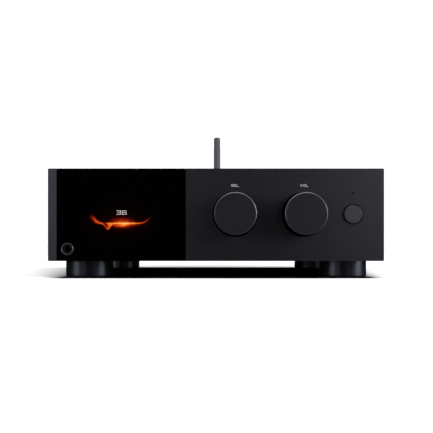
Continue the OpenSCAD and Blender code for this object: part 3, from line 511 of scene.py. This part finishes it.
def stroke(made, points, width, y, thickness):
    """A mitred ribbon of even width along points, standing thickness proud of the plane y."""
    path = [Vector((p[0], 0, p[1])) for p in points]
    closed = (path[0] - path[-1]).length < width / 100
    if closed:
        path.pop()
    else:
        path[0] += (path[0] - path[1]).normalized() * width / 2
        path[-1] += (path[-1] - path[-2]).normalized() * width / 2
    ways = [(b - a).normalized() for a, b in zip(path, path[1:] + path[:1])]
    if not closed:
        ways[-1] = ways[-2]
    rails = []
    for k, point in enumerate(path):
        into = ways[k - 1] if k or closed else ways[0]
        sides = [Vector((-way.z, 0, way.x)) for way in (into, ways[k])]
        mitre = (sides[0] + sides[1]).normalized()
        reach = mitre * (width / 2 / max(0.5, mitre.dot(sides[1])))
        rails.append([made.verts.new((q.x, y - lift, q.z))
                      for q in (point + reach, point - reach) for lift in (0, thickness)])
    pairs = list(zip(rails, rails[1:])) + ([(rails[-1], rails[0])] if closed else [])
    for a, b in pairs:
        for i, j in ((0, 1), (1, 3), (3, 2), (2, 0)):
            made.faces.new((a[i], a[j], b[j], b[i]))
    if not closed:
        for end in (rails[0], rails[-1]):
            made.faces.new((end[0], end[1], end[3], end[2]))


def lettering(name, text, middle, material, height, width, gap, line):
    """Writes text in stroke letters centred on middle, flat on the plane y of middle."""
    span = len(text) * width + (len(text) - 1) * gap

    def build(made):
        for k, letter in enumerate(text):
            left = middle[0] - span / 2 + k * (width + gap)
            for strokes in STROKES[letter]:
                points = [(left + line / 2 + px * (width - line),
                           middle[2] - height / 2 + line / 2 + pz * (height - line))
                          for px, pz in strokes]
                stroke(made, points, line, middle[1], INK_THICKNESS)

    mesh_piece(name, build, material)


label_ink = printed_ink("pale grey print", (0.34, 0.34, 0.35))
screen_white = printed_ink("lit numerals", (0.27, 0.245, 0.25), 1.0)
LABEL = dict(height=2.7 * MM, width=2.45 * MM, gap=0.5 * MM, line=0.38 * MM)
NUMERALS = dict(height=4.2 * MM, width=4.6 * MM, gap=1.2 * MM, line=0.5 * MM)
LABEL_RISE = 30.0 * MM
for knob, name, text in zip(KNOBS, ("selector_label", "volume_label"), ("SEL", "VOL")):
    place = (centre(knob).x, FRONT_Y, centre(knob).z + LABEL_RISE)
    lettering(name, text, place, label_ink, **LABEL)
lettering("display_level", "36", (DISPLAY_X + 1.0 * MM, GLASS_Y, MID_Z + 2.3 * MM), screen_white,
          **NUMERALS)


def coil_spring(name, start, end, radius, wire_r, turns, material):
    """A round-wire spring along Y, its wire capped at both ends, as a swept mesh."""
    steps = 32 * turns
    sides = 10

    def build(made):
        rings = []
        for k in range(steps + 1):
            t = k / steps
            a = 2 * math.pi * turns * t
            out = Vector((math.cos(a), 0, math.sin(a)))
            mid = Vector((start.x, start.y + (end.y - start.y) * t, start.z)) + out * radius
            rings.append([made.verts.new(mid + out * wire_r * math.cos(b)
                                         + Vector((0, 1, 0)) * wire_r * math.sin(b))
                          for b in [2 * math.pi * j / sides for j in range(sides)]])
        for a, b in zip(rings, rings[1:]):
            for j in range(sides):
                n = (j + 1) % sides
                made.faces.new((a[j], a[n], b[n], b[j]))
        made.faces.new(rings[0])
        made.faces.new(list(reversed(rings[-1])))

    obj = mesh_piece(name, build, material)
    obj.data.shade_smooth()
    return obj


WIRE_R = 0.3 * MM
spring_mid = centre("button_spring")
spring_front, spring_back = [corner[1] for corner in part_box("button_spring")]
spring = coil_spring("return_spring", Vector((spring_mid.x, spring_front + WIRE_R, spring_mid.z)),
                     Vector((spring_mid.x, spring_back - WIRE_R, spring_mid.z)),
                     4.0 * MM, WIRE_R, 3, steel_wire)
# The button's full press takes 1.2 mm of the spring's 5.3 mm.
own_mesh(spring)
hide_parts("button_spring")

# ---------------------------------------------------------------- stage, light and camera, in metres


def glowing_panel(name, place, look_at, width, height, watts):
    """A soft white light of this size, turned towards look_at."""
    light = bpy.data.lights.new(name, "AREA")
    light.shape = "RECTANGLE"
    light.size = width
    light.size_y = height
    light.energy = watts
    obj = bpy.data.objects.new(name, light)
    bpy.context.scene.collection.objects.link(obj)
    obj.location = place
    obj.rotation_euler = (Vector(look_at) - Vector(place)).to_track_quat("-Z", "Y").to_euler()


def upright(start, end, height):
    """Corners of a rectangle that stands on the floor from start to end."""
    return [(*start, 0), (*end, 0), (*end, height), (*start, height)]


def flat(low, high, z=0):
    """Corners of a level rectangle from its low corner to its high one."""
    return [(low[0], low[1], z), (high[0], low[1], z), (high[0], high[1], z), (low[0], high[1], z)]


def stage_plane(name, corners, material):
    """A plane that is stage, not object."""
    mesh = bpy.data.meshes.new(name)
    mesh.from_pydata([Vector(c) for c in corners], [], [(0, 1, 2, 3)])
    mesh.materials.append(material)
    obj = bpy.data.objects.new(name, mesh)
    bpy.context.scene.collection.objects.link(obj)
    return obj


def floor_material(half, front, back, soft, spread):
    """Pale floor with a painted black shadow of a low case from its front to its back.

    half is half of the shade's width at the front, and spread says how fast its left and right
    edges soften and move out towards the back."""
    s = Shader("pale floor", Roughness=0.9, Specular_IOR_Level=0.0)
    axes = s.axes()
    behind = s.minus(axes[1], front)
    inside = s.times(s.remap(behind, -2 * MM, 2 * MM, 0.0, 1.0),
                     s.remap(axes[1], back - soft, back + soft, 1.0, 0.0))
    for sign, grow in zip((-1.0, 1.0), spread):
        past = s.minus(s.times(axes[0], sign), half)
        wider = s.add(s.times(s.math("MAXIMUM", behind, 0.0), grow), soft)
        inside = s.times(inside, s.remap(s.math("DIVIDE", past, wider), -0.2, 1.8, 1.0, 0.0))
    pale = s.mix(s.noise(3.0, 2.0), rgb(0.93, 0.93, 0.93), rgb(0.95, 0.95, 0.95))
    # Painted shadow: the floor is near black where inside is high.
    s.set(Base_Color=s.mix(s.math("POWER", inside, 1.5), pale, rgb(0.001, 0.001, 0.001)))
    return s.mat


pale_floor = floor_material(half=166 * MM, front=FRONT_Y, back=133 * MM, soft=8 * MM,
                            spread=(0.24, 0.12))
stage_plane("floor", flat((-30, -30), (30, 30)), pale_floor)

# Black cards stand in front of, behind and beside the unit and lie round it on the floor.
# Only its glossy surfaces see them, as the dark half of the studio.
dark = Shader("dark card", Roughness=1.0, Specular_IOR_Level=0.0)
dark.set(Base_Color=dark.mix(dark.noise(2.0), rgb(0.01, 0.01, 0.01), rgb(0.015, 0.015, 0.015)))
cards = {
    "front_card": upright((-0.65, -1.0), (0.85, -1.0), 1.9),
    "floor_card": flat((-0.8, -0.93), (0.8, 1.0), 0.5 * MM),
    "back_card": upright((-0.6, 0.6), (0.6, 0.6), 0.6),
    "left_card": upright((-0.6, -0.3), (-0.6, 0.6), 0.6),
    "right_card": upright((0.6, -0.1), (0.6, 0.6), 0.6),
}
for name, corners in cards.items():
    card = stage_plane(name, corners, dark.mat)
    for sight in ("visible_camera", "visible_diffuse", "visible_shadow"):
        setattr(card, sight, False)

world = bpy.data.worlds.new("white studio")
world.use_nodes = True
sky = world.node_tree.nodes["Background"].inputs
sky["Color"].default_value = rgb(1, 1, 1)
sky["Strength"].default_value = 1.1
bpy.context.scene.world = world

# Each light's place, the point it faces, its width and height in metres, and its watts.
lights = {
    "key": ((1.0, -0.7, 0.45), (0.05, -0.15, 0.07), 0.5, 0.5, 7),
    "right_softbox": ((1.4, -0.55, 0.35), (0.1, -0.1, 0.08), 0.7, 0.7, 14),
    "left_softbox": ((-1.3, -0.9, 0.3), (-0.1, -0.1, 0.08), 0.6, 0.6, 7),
    "left_strip_light": ((-0.41, -0.97, 0.15), (-0.17, -0.15, 0.07), 0.05, 0.5, 0.6),
    "right_strip_light": ((0.42, -0.97, 0.15), (0.17, -0.15, 0.07), 0.05, 0.5, 0.25),
    "top_softbox": ((0, -0.2, 1.5), (0, -0.05, 0.1), 1.2, 0.6, 4),
}
for name, setting in lights.items():
    glowing_panel(name, *setting)

camera = bpy.data.cameras.new("camera")
camera.sensor_width = 36
camera.lens = 51.11
camera.clip_start = 0.01
camera.clip_end = 100
camera.shift_x = -0.0063
camera.shift_y = 0.061
eye = bpy.data.objects.new("camera", camera)
eye.location = (0.0034, FRONT_Y - 0.64, 0.0369)
eye.rotation_euler = (math.radians(90), 0, 0)
bpy.context.scene.collection.objects.link(eye)
bpy.context.scene.camera = eye
bpy.context.scene.view_settings.view_transform = "Standard"
